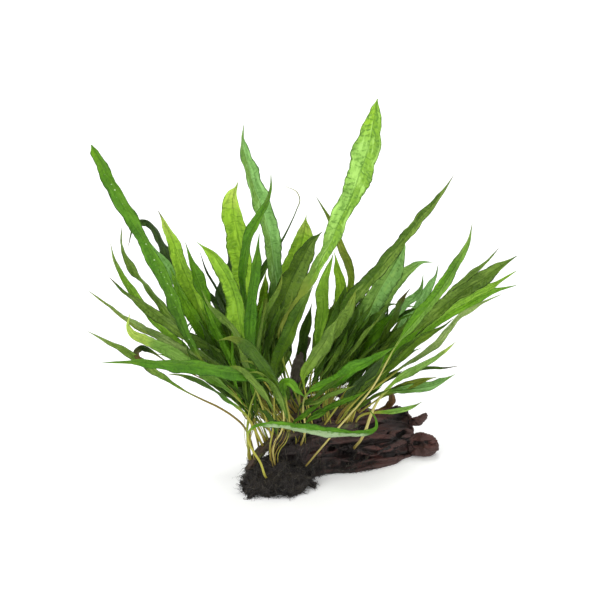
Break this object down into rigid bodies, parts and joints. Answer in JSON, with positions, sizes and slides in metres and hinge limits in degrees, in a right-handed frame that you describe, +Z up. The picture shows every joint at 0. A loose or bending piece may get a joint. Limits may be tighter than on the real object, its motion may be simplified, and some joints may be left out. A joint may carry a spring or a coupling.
{
  "type": "java fern on driftwood",
  "caption": "Aquarium fern with long narrow wavy leaves, growing from creeping stems and a dark root mat on a flat-bottomed piece of driftwood.",
  "frame": {"origin": "a point on the flat face under the wood, near the front of its left end, where the plant rests", "axes": "+Z up; +X to the right along the wood, towards its knobbed end; +Y away from the viewer"},
  "size_m": [0.2069, 0.1266, 0.1974],
  "materials": {
    "driftwood": "dark reddish brown waterlogged wood, matt, with splits along its grain",
    "weathered_driftwood": "grey-brown weathered wood, matt",
    "rhizome": "brown creeping stem with old frond scars",
    "root_mat": "near-black matted hair roots",
    "leaf_lime": "yellow-green young blade, light shows through it",
    "leaf_light": "light green blade, half gloss",
    "leaf_mid": "mid green blade, half gloss",
    "leaf_deep": "saturated deep green blade, half gloss",
    "leaf_dark": "dark green old blade, half gloss",
    "leaf_olive": "olive green blade, dull",
    "leaf_grey": "pale grey-green underside of a blade, dull"
  },
  "bodies": {
    "root": {"driftwood_log": "driftwood", "driftwood_end_knob": "driftwood", "driftwood_prong": "driftwood", "driftwood_branch": "weathered_driftwood", "rhizome_front": "rhizome", "rhizome_middle": "rhizome", "rhizome_back": "rhizome", "root_mat": "root_mat", "frond_left_long": "leaf_mid", "frond_left_bright": "leaf_light", "frond_left_arch": "leaf_dark", "frond_left_lime": "leaf_light", "frond_left_inner": "leaf_mid", "frond_left_wavy": "leaf_olive", "frond_left_yellow": "leaf_light", "frond_left_dark_low": "leaf_dark", "frond_left_grey": "leaf_grey", "frond_left_low_pale": "leaf_grey", "frond_left_young": "leaf_light", "frond_left_horizontal": "leaf_deep", "frond_left_small_low": "leaf_dark", "frond_lime_back": "leaf_lime", "frond_tall_left": "leaf_grey", "frond_crossing_dark": "leaf_deep", "frond_bent_wisp": "leaf_dark", "frond_tall_main": "leaf_light", "frond_behind_tall": "leaf_olive", "frond_centre_dark": "leaf_dark", "frond_lime_small": "leaf_lime", "frond_left_fold_lime": "leaf_light", "frond_back_dark_left": "leaf_dark", "frond_left_edge_dark": "leaf_dark", "frond_grey_stripe": "leaf_grey", "frond_front_fold": "leaf_mid", "frond_vertical_mid": "leaf_mid", "frond_under_tall": "leaf_grey", "frond_bright_mid": "leaf_deep", "frond_light_mid": "leaf_light", "frond_right_long_dark": "leaf_olive", "frond_right_broad": "leaf_mid", "frond_right_arch": "leaf_light", "frond_right_brown": "leaf_dark", "frond_right_green": "leaf_mid", "frond_right_dark_tip": "leaf_mid", "frond_right_bright": "leaf_deep", "frond_right_far_thin": "leaf_dark", "frond_right_low_dark": "leaf_olive", "frond_right_low_yellow": "leaf_light", "frond_right_low_green": "leaf_deep", "frond_right_low_grey": "leaf_grey", "frond_right_lower_dark": "leaf_dark", "frond_right_lower_yellow": "leaf_olive", "frond_right_level": "leaf_light", "frond_right_lowest": "leaf_grey", "frond_front_curl": "leaf_grey", "frond_centre_olive": "leaf_olive", "frond_centre_bright": "leaf_deep", "frond_centre_lower": "leaf_mid", "frond_small_front": "leaf_mid", "frond_fill_right": "leaf_dark"}
  },
  "joints": []
}
